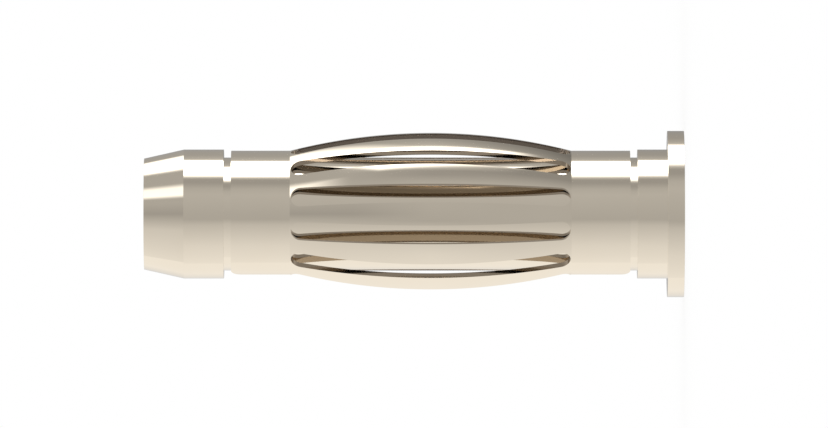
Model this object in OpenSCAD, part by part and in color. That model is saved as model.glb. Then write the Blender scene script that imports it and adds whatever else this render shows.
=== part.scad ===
// Banana plug for 4 mm sockets: a turned pin, with a rolled spring cage loose on its core.
// The plug stands on its flange, with +Z along its axis to the nose. Sizes are in millimetres.

/* [Pin] */
// Diameter of the flange at the rear end
flange_d = 5.0; // [4.6:0.1:8]
// Thickness of the flange
flange_t = 0.5; // [0.3:0.05:2]
// Diameter of the collar in front of the flange
collar_d = 3.88; // [3.7:0.02:4]
// Length of the collar
collar_len = 0.9; // [0.4:0.1:3]
// Diameter of the core that carries the cage
core_d = 3.4; // [2.8:0.05:3.5]
// Diameter of the straight land behind the nose taper
land_d = 3.88; // [3.7:0.02:4]
// Length of the straight land
land_len = 1.2; // [0.6:0.1:3]
// Length of the nose taper
taper_len = 1.2; // [0.6:0.1:4]
// Diameter of the flat tip
tip_d = 3.34; // [1.6:0.02:3.6]

/* [Spring cage] */
// Length of the cage, end to end
cage_len = 12.0; // [10:0.1:16]
// Axial play between each end of the cage and the shoulder beside it
end_play = 0.22; // [0.1:0.02:0.6]
// Thickness of the spring sheet
sheet_t = 0.18; // [0.1:0.01:0.22]
// Running clearance between the sheet and the core, on the radius
core_clear = 0.025; // [0.02:0.005:0.08]
// Length of the straight band at each end of the cage
band_len = 1.77; // [1:0.01:3]
// Length of the bowed rim between a band and the ends of the slots
rim_len = 0.03; // [0.02:0.01:0.2]
// Rise of the bowed leaves above the bands, on the radius
leaf_rise = 0.54; // [0.3:0.02:0.8]
// Places around the cage, each with a leaf except the one at the seam
places = 12; // [9:1:13]
// Width of the slot between two leaves
slot_w = 0.58; // [0.3:0.02:0.62]
// How far the strip's ends stop short of the middle of the slots beside the seam
seam_trim = 0.07; // [0.02:0.01:0.18]
// Radius of the strip's corners at the seam
corner_r = 0.3; // [0.1:0.05:0.5]

/* [Hidden] */
$fn = 192;

pale_nickel = [0.86, 0.82, 0.74];
sprung_nickel = [0.84, 0.80, 0.72];

// Heights of the pin's steps, from the flange's rear face to the tip
groove_z = flange_t + collar_len;
groove_len = cage_len + 2 * end_play;
land_z = groove_z + groove_len;
taper_z = land_z + land_len;
tip_z = taper_z + taper_len;

// The cage, about its own middle
cage_z = groove_z + end_play + cage_len / 2;
cage_in_r = core_d / 2 + core_clear;
band_r = cage_in_r + sheet_t;
peak_r = band_r + leaf_rise;
bow_len = cage_len - 2 * band_len;
slot_len = bow_len - 2 * rim_len;
pitch = 360 / places;

// The leaves bow on a circle through the inner edges of both bands and the peak
bow_r = (pow(bow_len / 2, 2) + pow(leaf_rise, 2)) / (2 * leaf_rise);
bow_x = peak_r - bow_r;

// The seam takes the place of one leaf, on the side away from +X
seam_angle = 180;
seam_gap = 2 * (band_r * sin(pitch / 2) + seam_trim);

// Cutters reach past the peak, and start inside the sheet
cut_reach = peak_r + sheet_t;
slot_start = cage_in_r - sheet_t;

// Half section of the pin, from the axis out
module pin_section() {
    polygon([
        [0, 0],
        [flange_d / 2, 0],
        [flange_d / 2, flange_t],
        [collar_d / 2, flange_t],
        [collar_d / 2, groove_z],
        [core_d / 2, groove_z],
        [core_d / 2, land_z],
        [land_d / 2, land_z],
        [land_d / 2, taper_z],
        [tip_d / 2, tip_z],
        [0, tip_z]
    ]);
}

// Half section inside one face of the sheet: straight at the bands and bowed between them
module bowed_section(depth) {
    translate([0, -cage_len / 2]) square([band_r - depth, cage_len]);
    intersection() {
        translate([bow_x, 0]) circle(bow_r - depth);
        translate([0, -bow_len / 2]) square([peak_r, bow_len]);
    }
}

// The bowed sleeve, before its slots and seam are cut
module sleeve() {
    rotate_extrude() difference() {
        bowed_section(0);
        bowed_section(sheet_t);
    }
}

// Sends a flat outline, drawn with its height along Y, out of the axis at an angle
module radial_cut(angle, start) {
    rotate([0, 0, angle])
        translate([start, 0, 0])
        rotate([90, 0, 90])
        linear_extrude(cut_reach - start) children();
}

// A bar with full round ends, about its middle
module round_ended(width, length) {
    straight = length - width;
    square([width, straight], center = true);
    for (end = [-1, 1])
        translate([0, end * straight / 2]) circle(width / 2);
}

// The open seam: a gap with the round corners of the strip's two ends left standing in it
module seam_outline() {
    difference() {
        square([seam_gap + 2 * corner_r, cage_len + 2 * corner_r], center = true);
        for (side = [-1, 1])
            translate([side * (seam_gap / 2 + corner_r), 0]) round_ended(2 * corner_r, cage_len);
    }
}

// The turned pin: flange, collar, core, land and tapered nose in one piece
module plug_pin() {
    color(pale_nickel) rotate_extrude() pin_section();
}

// The rolled strip: two bands joined by bowed leaves, open at its seam
module spring_cage() {
    color(sprung_nickel) translate([0, 0, cage_z]) difference() {
        sleeve();
        for (i = [0 : places - 1])
            radial_cut((i + 0.5) * pitch, slot_start) round_ended(slot_w, slot_len);
        radial_cut(seam_angle, 0) seam_outline();
    }
}

plug_pin();
spring_cage();
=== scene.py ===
import math

import bpy
from mathutils import Matrix, Vector


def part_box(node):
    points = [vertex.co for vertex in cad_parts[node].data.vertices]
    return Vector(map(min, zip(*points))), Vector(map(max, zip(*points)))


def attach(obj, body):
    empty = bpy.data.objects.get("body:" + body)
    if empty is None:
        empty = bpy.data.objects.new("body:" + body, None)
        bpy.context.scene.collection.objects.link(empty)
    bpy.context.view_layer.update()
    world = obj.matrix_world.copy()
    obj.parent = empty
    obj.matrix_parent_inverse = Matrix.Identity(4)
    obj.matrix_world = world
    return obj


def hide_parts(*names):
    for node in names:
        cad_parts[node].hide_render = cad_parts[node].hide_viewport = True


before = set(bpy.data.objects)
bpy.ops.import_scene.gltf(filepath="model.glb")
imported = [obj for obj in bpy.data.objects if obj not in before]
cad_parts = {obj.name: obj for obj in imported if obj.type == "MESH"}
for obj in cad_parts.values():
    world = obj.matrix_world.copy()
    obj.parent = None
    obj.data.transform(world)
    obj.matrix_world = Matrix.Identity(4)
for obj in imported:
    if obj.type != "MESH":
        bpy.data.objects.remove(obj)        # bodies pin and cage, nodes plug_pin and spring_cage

scene = bpy.context.scene
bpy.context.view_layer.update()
mm = 0.001


# One output socket, so that sums on sockets read as sums
class Val:
    def __init__(self, graph, socket):
        self.graph = graph
        self.socket = socket

    def math(self, operation, *terms):
        return self.graph.node("ShaderNodeMath", {"operation": operation}, list(terms))

    def other(self, name):        # another output of the same node
        return Val(self.graph, self.socket.node.outputs[name])

    def __add__(self, term):
        return self.math("ADD", self, term)

    def __radd__(self, term):
        return self.math("ADD", term, self)

    def __sub__(self, term):
        return self.math("SUBTRACT", self, term)

    def __rsub__(self, term):
        return self.math("SUBTRACT", term, self)

    def __mul__(self, term):
        return self.math("MULTIPLY", self, term)

    def __rmul__(self, term):
        return self.math("MULTIPLY", term, self)

    def __truediv__(self, term):
        return self.math("DIVIDE", self, term)

    def __rtruediv__(self, term):
        return self.math("DIVIDE", term, self)

    def __gt__(self, term):
        return self.math("GREATER_THAN", self, term)

    def __lt__(self, term):
        return self.math("LESS_THAN", self, term)

    def abs(self):
        return self.math("ABSOLUTE", self)

    def sign(self):
        return self.math("SIGN", self)

    def sqrt(self):
        return self.math("SQRT", self)

    def sin(self):
        return self.math("SINE", self)

    def cos(self):
        return self.math("COSINE", self)

    def asin(self):
        return self.math("ARCSINE", self)

    def least(self, term):
        return self.math("MINIMUM", self, term)

    def most(self, term):
        return self.math("MAXIMUM", self, term)

    def clamp(self):
        return self.least(1.0).most(0.0)

    def smooth(self):             # eased from 0 to 1
        held = self.clamp()
        return held * held * (3.0 - 2.0 * held)


# One node tree, and the one way that nodes get into it
class Graph:
    def __init__(self, tree):
        self.tree = tree
        tree.nodes.clear()

    def node(self, kind, settings=None, sockets=None):
        made = self.tree.nodes.new(kind)
        for name, value in (settings or {}).items():
            if name == "stops":
                self.setStops(made.color_ramp.elements, value)
            else:
                setattr(made, name, value)
        pairs = sockets.items() if isinstance(sockets, dict) else enumerate(sockets or [])
        for key, value in pairs:
            if isinstance(value, Val):
                self.tree.links.new(value.socket, made.inputs[key])
            else:
                made.inputs[key].default_value = value
        return Val(self, made.outputs[0]) if made.outputs else None

    def setStops(self, elements, stops):
        for place, level in stops[1:-1]:
            elements.new(place).color = (level, level, level, 1)
        for element, (place, level) in ((elements[0], stops[0]), (elements[-1], stops[-1])):
            element.position = place
            element.color = (level, level, level, 1)

    def blend(self, share, first, second):        # sockets 0, 6, 7 and 2 are the ones for colours
        mixed = self.node("ShaderNodeMix", {"data_type": "RGBA"}, {0: share, 6: first, 7: second})
        return Val(self, mixed.socket.node.outputs[2])

    def split(self, vector):
        x = self.node("ShaderNodeSeparateXYZ", {}, {"Vector": vector})
        return x, x.other("Y"), x.other("Z")


def newMaterial(name):
    material = bpy.data.materials.new(name)
    material.use_nodes = True
    return material, Graph(material.node_tree)


def newObject(name, data):
    made = bpy.data.objects.new(name, data)
    scene.collection.objects.link(made)
    return made


# Bright nickel plate: warm and pale, over the marks that the metal had before plating

nickel = {
    "pale": (0.868, 0.782, 0.652, 1),        # tint of the plate where it is thick
    "warm": (0.846, 0.756, 0.620, 1),        # tint where a little brass shows through
    "shadeTint": (0.46, 0.415, 0.37, 1),          # painted shade: a darker tint for the cut walls and the strip's inner face, where the recesses are shaded
    "cloud": 1.6 * mm,                       # size of the soft clouds between the two tints
    "roughness": 0.06,
    "roughSwing": 0.03,                      # how far the marks change the roughness
    "markDetail": 3.0,
    "markFade": 0.6,                         # strength of each finer layer of marks
}
turned = {"pitch": 0.09 * mm, "depth": 0.00004 * mm}
rolled = {"pitch": 0.07 * mm, "depth": 0.00003 * mm, "stretch": 40.0}


def turningMarks(g, spot):
    # rings that follow the lathe tool, along the axis on round faces and outwards on flat ones
    x, y, z = g.split(spot)
    along = z + (x * x + y * y).sqrt()
    return g.node("ShaderNodeTexNoise", {"noise_dimensions": "1D"}, {
        "W": along,
        "Scale": 1 / turned["pitch"],
        "Detail": nickel["markDetail"],
        "Roughness": nickel["markFade"],
    })


def rollingGrain(g, spot):
    # long streaks along the leaves, as the strip left the rolls
    x, y, z = g.split(spot)
    along = z + (x * x + y * y).sqrt()
    drawn = g.node("ShaderNodeCombineXYZ", {}, {
        "X": x / rolled["pitch"],
        "Y": y / rolled["pitch"],
        "Z": along / (rolled["pitch"] * rolled["stretch"]),
    })
    return g.node("ShaderNodeTexNoise", {}, {
        "Vector": drawn,
        "Scale": 1.0,
        "Detail": nickel["markDetail"],
        "Roughness": nickel["markFade"],
    })


def nickelPlate(name, marksAt, depth, paintShadeInside):
    material, g = newMaterial(name)
    spot = g.node("ShaderNodeTexCoord").other("Object")
    marks = marksAt(g, spot)
    cloud = g.node("ShaderNodeTexNoise", {}, {"Vector": spot, "Scale": 1 / nickel["cloud"]})
    tint = g.blend(cloud, nickel["pale"], nickel["warm"])
    # painted shade: faces marked as inside take the darker tint, standing in for the shade in the
    # recesses
    if paintShadeInside:
        inside = g.node("ShaderNodeAttribute", {"attribute_name": "inside"}).other("Fac")
        tint = g.blend(inside, tint, nickel["shadeTint"])
    skin = g.node("ShaderNodeBsdfPrincipled", {}, {
        "Base Color": tint,
        "Metallic": 1.0,
        "Roughness": nickel["roughness"] + nickel["roughSwing"] * (marks - 0.5),
        "Normal": g.node("ShaderNodeBump", {}, {"Strength": 1.0, "Distance": depth, "Height": marks}),
    })
    g.node("ShaderNodeOutputMaterial", {}, {"Surface": skin})
    return material


pinNickel = nickelPlate("pinNickel", turningMarks, turned["depth"], paintShadeInside=False)
# the cage's finish carries painted shade on its cut walls and inner face
cageNickel = nickelPlate("cageNickel", rollingGrain, rolled["depth"], paintShadeInside=True)
print("finishes: nickel over turning marks, nickel over rolling grain")


# The pin, turned in one piece

pinLow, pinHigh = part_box("plug_pin")
middleZ = (pinLow.z + pinHigh.z) / 2
pin = {
    "flangeRadius": pinHigh.x,
    "flangeThick": 0.5 * mm,
    "collarRadius": 1.94 * mm,
    "collarLength": 0.9 * mm,
    "coreRadius": 1.7 * mm,
    "landRadius": 1.94 * mm,
    "landLength": 1.2 * mm,
    "taperLength": 1.2 * mm,
    "tipRadius": 1.67 * mm,
    "edgeBreak": 0.006 * mm,
    "breakSteps": 2,
    "leastTurn": math.radians(30),           # corners that turn less than this stay as they are
    "segments": 192,
}


def pinCorners():
    # half section from the axis out, as radius and height
    tipZ = pinHigh.z
    taperZ = tipZ - pin["taperLength"]
    landZ = taperZ - pin["landLength"]
    grooveZ = pin["flangeThick"] + pin["collarLength"]
    steps = [
        (0.0, 0.0),
        (pin["flangeRadius"], 0.0),
        (pin["flangeRadius"], pin["flangeThick"]),
        (pin["collarRadius"], pin["flangeThick"]),
        (pin["collarRadius"], grooveZ),
        (pin["coreRadius"], grooveZ),
        (pin["coreRadius"], landZ),
        (pin["landRadius"], landZ),
        (pin["landRadius"], taperZ),
        (pin["tipRadius"], tipZ),
        (0.0, tipZ),
    ]
    return [Vector(step) for step in steps]


def brokenEdge(before, corner, after):
    # the arc that takes a sharp corner off, as points with their outward normals
    way0 = (corner - before).normalized()
    way1 = (after - corner).normalized()
    turn = -way0.angle_signed(way1)          # positive where the outline turns left, on outward corners
    if turn < pin["leastTurn"]:
        return None
    out0 = Vector((way0.y, -way0.x))
    centre = corner - pin["edgeBreak"] * (way0 * math.tan(turn / 2) + out0)
    arc = []
    for i in range(pin["breakSteps"] + 1):
        out = out0.copy()
        out.rotate(Matrix.Rotation(turn * i / pin["breakSteps"], 2))
        arc.append((centre + out * pin["edgeBreak"], out))
    return arc


def turnedOutline(corners):
    # stretches of outline, each a list of (point, outward normal)
    arcs = {}
    for i in range(1, len(corners) - 1):
        arcs[i] = brokenEdge(*corners[i - 1:i + 2])
    stretches = []
    for i in range(len(corners) - 1):
        start = arcs[i][-1][0] if arcs.get(i) else corners[i]
        stop = arcs[i + 1][0][0] if arcs.get(i + 1) else corners[i + 1]
        way = (stop - start).normalized()
        out = Vector((way.y, -way.x))
        stretches.append([(start, out), (stop, out)])
        if arcs.get(i + 1):
            stretches.append(arcs[i + 1])
    return stretches


def turnedMesh(name, stretches, segments):
    # the outline swept round +Z, with the exact normal at every face corner
    verts, faces, normals = [], [], []
    rings = {}

    def swept(flat, s):
        angle = 2 * math.pi * s / segments
        return (flat.x * math.cos(angle), flat.x * math.sin(angle), flat.y)

    def ring(point):
        key = (round(point.x / mm, 6), round(point.y / mm, 6))
        if key not in rings:
            count = segments if key[0] else 1        # a point on the axis is a ring of one
            rings[key] = range(len(verts), len(verts) + count)
            verts.extend(swept(point, s) for s in range(count))
        return rings[key]

    for stretch in stretches:
        for (point0, out0), (point1, out1) in zip(stretch, stretch[1:]):
            ring0, ring1 = ring(point0), ring(point1)
            for s in range(segments):
                t = (s + 1) % segments
                corners = [(ring0, s, out0), (ring0, t, out0), (ring1, t, out1), (ring1, s, out1)]
                if len(ring0) == 1:
                    corners.pop(1)
                if len(ring1) == 1:
                    corners.pop(2)
                faces.append([around[i % len(around)] for around, i, out in corners])
                normals.extend(swept(out, i) for around, i, out in corners)
    mesh = bpy.data.meshes.new(name)
    mesh.from_pydata(verts, [], faces)
    mesh.shade_smooth()
    mesh.normals_split_custom_set(normals)
    mesh.validate()
    return mesh


pinPiece = newObject("turnedPin", turnedMesh("turnedPin", turnedOutline(pinCorners()), pin["segments"]))
pinPiece.data.materials.append(pinNickel)
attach(pinPiece, "pin")
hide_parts("plug_pin")
print("turned pin:", len(pinPiece.data.polygons), "faces")


# The spring cage: a slotted strip with bowed leaves, rolled round the core and open at its seam

cageLow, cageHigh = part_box("spring_cage")
cage = {
    "Places": 12,                            # one of them is the seam, the others hold leaves
    "Middle": (cageLow.z + cageHigh.z) / 2,
    "Length": cageHigh.z - cageLow.z,
    "Band length": 1.77 * mm,
    "Rim length": 0.03 * mm,                 # bowed metal between a band and the ends of the slots
    "Band radius": 1.905 * mm,
    "Peak radius": cageHigh.x,
    "Sheet": 0.18 * mm,
    "Slot width": 0.58 * mm,
    "Seam trim": 0.07 * mm,                  # from a strip's end to the middle of the slot beside it
    "Corner radius": 0.3 * mm,
}
cageMesh = {
    "columns": 20,                           # faces across one place
    # faces from the middle of a leaf to the end of the cage, stretch by stretch
    "rows": {"leaf": 26, "slotEnd": 9, "rim": 1, "band": 5, "corner": 9},
    "merge": 0.0003 * mm,
    "sharpTurn": math.radians(12.5),         # the crease beside each band turns by more than this
}


def flatStrip(g, places):
    # one flat place for each leaf: X across it, Y along the cage, Z through the sheet
    flat = g.node("GeometryNodeMeshCube", {}, {
        "Size": (2.0, 2.0, 1.0),
        "Vertices X": cageMesh["columns"] + 1,
        "Vertices Y": 2 * sum(cageMesh["rows"].values()) + 1,
        "Vertices Z": 2,
    })
    points = g.node("GeometryNodePoints", {}, {"Count": places - 1.0})
    numbered = g.node("GeometryNodeStoreNamedAttribute", {"data_type": "FLOAT", "domain": "POINT"},
                      {"Geometry": points, "Name": "place", "Value": g.node("GeometryNodeInputIndex")})
    copies = g.node("GeometryNodeInstanceOnPoints", {}, {"Points": numbered, "Instance": flat})
    return g.node("GeometryNodeRealizeInstances", {}, {"Geometry": copies})


def openedStrip(g, strip, row, seamSide):
    facing = g.node("ShaderNodeSeparateXYZ", {}, {"Vector": g.node("GeometryNodeInputNormal")})

    # every face but the strip's outer face gets the painted shade, a darker tint, and the material reads
    # that mask here
    marked = g.node("GeometryNodeStoreNamedAttribute", {"data_type": "FLOAT", "domain": "FACE"},
                    {"Geometry": strip, "Name": "inside", "Value": facing.other("Z") < 0.5})

    # neighbours join in the bands, so the walls between them go there
    slotRows = cageMesh["rows"]["leaf"] + cageMesh["rows"]["slotEnd"]
    between = (facing.other("X").abs() > 0.5) * (row > float(slotRows)) * (1.0 - seamSide)
    return g.node("GeometryNodeDeleteGeometry", {"domain": "FACE"},
                  {"Geometry": marked, "Selection": between})


def rowShares(row):
    # how far a row is through each stretch, from 0 to 1
    shares = {}
    passed = 0
    for stretch, count in cageMesh["rows"].items():
        shares[stretch] = ((row - float(passed)) / float(count)).clamp()
        passed += count
    return shares


def bowedRadius(height, bowLength, bandRadius, peakRadius, inset):
    # the leaves bow on a circle through the bands' inner edges and the peak
    rise = peakRadius - bandRadius
    outer = (bowLength * bowLength / 4.0 + rise * rise) / (2.0 * rise)
    face = outer - inset
    return (peakRadius - outer + (face * face - height * height).sqrt()).most(bandRadius - inset)


def cageTree():
    tree = bpy.data.node_groups.new("springCage", "GeometryNodeTree")
    g = Graph(tree)
    tree.interface.new_socket("Geometry", in_out="OUTPUT", socket_type="NodeSocketGeometry")
    inputs = {}
    for name in cage:
        inputs[name] = tree.interface.new_socket(name, in_out="INPUT", socket_type="NodeSocketFloat")
    inputs["Finish"] = tree.interface.new_socket("Finish", in_out="INPUT",
                                                 socket_type="NodeSocketMaterial")
    given = g.node("NodeGroupInput")
    places, rim = given.other("Places"), given.other("Rim length")
    bandLength, bandRadius = given.other("Band length"), given.other("Band radius")
    slotHalf, cornerRadius = given.other("Slot width") / 2.0, given.other("Corner radius")
    bowLength = given.other("Length") - 2.0 * bandLength
    pitch = 2 * math.pi / places
    seamHalf = bandRadius * (pitch / 2.0).sin() + given.other("Seam trim")

    place = g.node("GeometryNodeInputNamedAttribute", {"data_type": "FLOAT"}, {"Name": "place"})
    across, up, depth = g.split(g.node("GeometryNodeInputPosition"))
    row = up.abs() * float(sum(cageMesh["rows"].values()))
    first = (place < 0.5) * (across < 0.0)
    last = (place > places - 2.5) * (across > 0.0)
    seamSide = (first + last).clamp()
    opened = openedStrip(g, flatStrip(g, places), row, seamSide)

    # height above the cage's middle
    share = rowShares(row)
    slotTurn = share["slotEnd"] * (math.pi / 2)
    cornerTurn = share["corner"] * (math.pi / 2)
    straight = bowLength / 2.0 - rim - slotHalf
    height = (straight * share["leaf"] + slotHalf * slotTurn.sin() + rim * share["rim"]
              + (bandLength - cornerRadius) * share["band"] + cornerRadius * cornerTurn.sin())

    # slots and seam have parallel walls, so their angle depends on the radius
    inset = given.other("Sheet") * (depth < 0.0)
    radius = bowedRadius(height, bowLength, bandRadius, given.other("Peak radius"), inset)
    width = pitch / 2.0 - (slotHalf * slotTurn.cos() / radius).asin()
    seamEdge = seamHalf + cornerRadius * (1.0 - cornerTurn.cos())
    trimmed = width.least(pitch - (seamEdge / radius).asin())
    width = width + seamSide * (trimmed - width)
    angle = math.pi + (place + 1.0) * pitch + across * width
    rolledSpot = g.node("ShaderNodeCombineXYZ", {}, {
        "X": radius * angle.cos(),
        "Y": radius * angle.sin(),
        "Z": given.other("Middle") + up.sign() * height,
    })
    rolledUp = g.node("GeometryNodeSetPosition", {}, {"Geometry": opened, "Position": rolledSpot})
    joined = g.node("GeometryNodeMergeByDistance", {},
                    {"Geometry": rolledUp, "Distance": cageMesh["merge"]})
    soft = g.node("GeometryNodeSetShadeSmooth", {}, {"Geometry": joined})
    whole = g.node("GeometryNodeRealizeInstances", {}, {"Geometry": soft})
    plated = g.node("GeometryNodeSetMaterial", {}, {"Geometry": whole, "Material": given.other("Finish")})
    g.node("NodeGroupOutput", {}, {"Geometry": plated})
    return tree, inputs


def cageObject():
    tree, inputs = cageTree()
    maker = newObject("cageMaker", bpy.data.meshes.new("cageMaker"))
    modifier = maker.modifiers.new("cage", "NODES")
    modifier.node_group = tree
    for name, value in cage.items():
        modifier[inputs[name].identifier] = float(value)
    modifier[inputs["Finish"].identifier] = cageNickel
    made = maker.evaluated_get(bpy.context.evaluated_depsgraph_get())
    mesh = bpy.data.meshes.new_from_object(made)
    mesh.name = "springCage"
    maker.modifiers.clear()
    bpy.data.objects.remove(maker)
    mesh.set_sharp_from_angle(angle=cageMesh["sharpTurn"])
    return newObject("springCage", mesh)


cagePiece = cageObject()
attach(cagePiece, "cage")
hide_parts("spring_cage")
print("spring cage:", len(cagePiece.data.polygons), "faces")


# Studio: a white world, a pale floor, and a grey wrap and three softboxes that show in the metal only

wrap = {
    "radius": 0.60,
    "from": -100,                            # degrees round the axis, from the camera towards +X
    "to": 225,
    "reach": 60,                             # degrees from the plug's middle towards its nose or flange
    "endRow": 16,                            # where the levels for those two ends hold
    "columns": 130,
    "rows": 8,
    # light by degrees round the axis
    "middle": {-100: 0.95, -60: 0.83, -20: 0.60, -10: 0.47, 35: 0.54, 46: 0.50, 58: 0.37, 65: 0.38,
               71: 0.70, 112: 0.75, 118: 0.52, 130: 0.41, 176: 0.34, 195: 0.82, 225: 1.0},
    "nose": {-100: 0.90, -32: 0.70, 0: 0.40, 21: 0.48, 165: 0.43, 225: 1.0},
    "flange": {-100: 0.90, -32: 0.66, -14: 0.49, 46: 0.50, 66: 0.31, 112: 0.28, 134: 0.13, 165: 0.10,
               225: 1.0},
}


def shellPoint(around, towards, radius):
    angle, rise = math.radians(around), math.radians(towards)
    out = Vector((math.sin(angle) * math.cos(rise), -math.cos(angle) * math.cos(rise), math.sin(rise)))
    return Vector((0, 0, middleZ)) + out * radius


def cardMesh(name, grid):
    # a sheet through rows of points, with its own flat coordinates
    rows, columns = len(grid), len(grid[0])
    verts = [point for row in grid for point in row]
    faces = []
    for r in range(rows - 1):
        for c in range(columns - 1):
            start = r * columns + c
            faces.append((start, start + 1, start + columns + 1, start + columns))
    mesh = bpy.data.meshes.new(name)
    mesh.from_pydata(verts, [], faces)
    flat = mesh.uv_layers.new(name="card")
    for loop in mesh.loops:
        r, c = divmod(loop.vertex_index, columns)
        flat.data[loop.index].uv = (c / (columns - 1), r / (rows - 1))
    return mesh


def reflectedCard(name, grid):
    card = newObject(name, cardMesh(name, grid))
    card.visible_camera = False
    card.visible_diffuse = False
    card.visible_transmission = False
    card.visible_shadow = False
    material, g = newMaterial(name)
    material.cycles.emission_sampling = "NONE"
    card.data.materials.append(material)
    u, v = g.split(g.node("ShaderNodeUVMap", {"uv_map": "card"}))[:2]
    return g, u, v


def wrapCard():
    span = wrap["to"] - wrap["from"]
    grid = []
    for r in range(wrap["rows"] + 1):
        towards = wrap["reach"] * (2 * r / wrap["rows"] - 1)
        grid.append([shellPoint(wrap["from"] + span * c / wrap["columns"], towards, wrap["radius"])
                     for c in range(wrap["columns"] + 1)])
    g, u, v = reflectedCard("greyWrap", grid)
    level = {}
    for row in ("middle", "nose", "flange"):
        stops = [((degrees - wrap["from"]) / span, grey) for degrees, grey in wrap[row].items()]
        level[row] = g.node("ShaderNodeValToRGB", {"stops": stops}, {"Fac": u})
    nearEnd = (2.0 * v - 1.0) * (wrap["reach"] / wrap["endRow"])
    light = (level["middle"] + nearEnd.clamp() * (level["nose"] - level["middle"])
             + (0.0 - nearEnd).clamp() * (level["flange"] - level["middle"]))
    glow = g.node("ShaderNodeEmission", {}, {"Color": light, "Strength": 1.0})
    g.node("ShaderNodeOutputMaterial", {}, {"Surface": glow})


# corners are degrees round the axis and degrees towards the nose
softboxes = {
    "overhead": {
        "corners": [(76, -21), (115.2, -13), (115.2, 29.5), (64.5, 9.3)],
        "light": 4.5,
        "edge": 0.3,                         # share of the card that fades out on each side
    },
    "front": {
        "corners": [(106, -2), (136, 6.5), (136, 44), (106, 44)],
        "light": 2.0,
        "edge": 0.32,
    },
    "side": {
        "corners": [(29, 14), (61, 14), (61, 47), (29, 47)],
        "light": 1.6,
        "edge": 0.4,
    },
}
softboxRadius = 0.55


def softboxCard(name, box):
    near0, near1, far1, far0 = [shellPoint(*corner, softboxRadius) for corner in box["corners"]]
    g, u, v = reflectedCard(name, [[near0, near1], [far0, far1]])
    fromEdge = u.least(1.0 - u).least(v).least(1.0 - v)
    mask = (fromEdge / box["edge"]).smooth()
    clear = g.node("ShaderNodeBsdfTransparent")
    glow = g.node("ShaderNodeEmission", {}, {"Strength": box["light"]})
    g.node("ShaderNodeOutputMaterial", {}, {
        "Surface": g.node("ShaderNodeMixShader", {}, [mask, clear, glow]),
    })


floorSizes = {
    "radius": 0.30,
    "sides": 96,
    "white": 0.9,
    "glow": 0.75,                            # share that is plain white, so that shadows stay faint
}


def paleFloor():
    radius, sides = floorSizes["radius"], floorSizes["sides"]
    turns = [2 * math.pi * i / sides for i in range(sides)]
    ring = [(radius * math.cos(turn), radius * math.sin(turn), pinLow.z) for turn in turns]
    mesh = bpy.data.meshes.new("paleFloor")
    mesh.from_pydata(ring, [], [list(range(sides))])
    floor = newObject("paleFloor", mesh)
    floor.visible_glossy = False             # the metal shows the wrap there
    material, g = newMaterial("paleFloor")
    material.cycles.emission_sampling = "NONE"
    mesh.materials.append(material)
    matt = g.node("ShaderNodeBsdfDiffuse", {}, {"Color": (*[floorSizes["white"]] * 3, 1)})
    plain = g.node("ShaderNodeEmission", {}, {"Strength": 1.0})
    g.node("ShaderNodeOutputMaterial", {}, {
        "Surface": g.node("ShaderNodeMixShader", {}, [floorSizes["glow"], matt, plain]),
    })


def whiteWorld():
    world = bpy.data.worlds.new("whiteWorld")
    world.use_nodes = True
    g = Graph(world.node_tree)
    path = g.node("ShaderNodeLightPath")
    shown = (path.other("Is Camera Ray") + path.other("Is Glossy Ray")
             + path.other("Is Transmission Ray")).clamp()
    white = (1, 1, 1, 1)

    # the fill is as strong as makes the open floor come out white too
    fill = g.node("ShaderNodeBackground", {}, {"Color": white, "Strength": 1 / floorSizes["white"]})
    plain = g.node("ShaderNodeBackground", {}, {"Color": white, "Strength": 1.0})
    g.node("ShaderNodeOutputWorld", {}, {
        "Surface": g.node("ShaderNodeMixShader", {}, [shown, fill, plain]),
    })
    scene.world = world


wrapCard()
for name, box in softboxes.items():
    softboxCard(name + "Softbox", box)
paleFloor()
whiteWorld()
print("studio: wrap, softboxes, floor, world")


# Camera: level with the plug's middle, turned so that the nose points left

shot = {
    "lens": 750.0,
    "sensor": 36.0,
    "pixelSize": 0.0301 * mm,
    "pixelsWide": 828,
    "nearest": 0.01,
    "furthest": 5.0,
}


def sideCamera():
    data = bpy.data.cameras.new("sideCamera")
    data.lens = shot["lens"]
    data.sensor_width = shot["sensor"]
    data.clip_start = shot["nearest"]
    data.clip_end = shot["furthest"]
    camera = newObject("sideCamera", data)
    away = shot["pixelSize"] * shot["pixelsWide"] * shot["lens"] / shot["sensor"]
    right, up, back = Vector((0, 0, -1)), Vector((1, 0, 0)), Vector((0, -1, 0))
    facing = Matrix((right, up, back)).transposed().to_4x4()
    camera.matrix_world = Matrix.Translation(Vector((0, 0, middleZ)) + back * away) @ facing
    scene.camera = camera


sideCamera()
scene.view_settings.view_transform = "Standard"
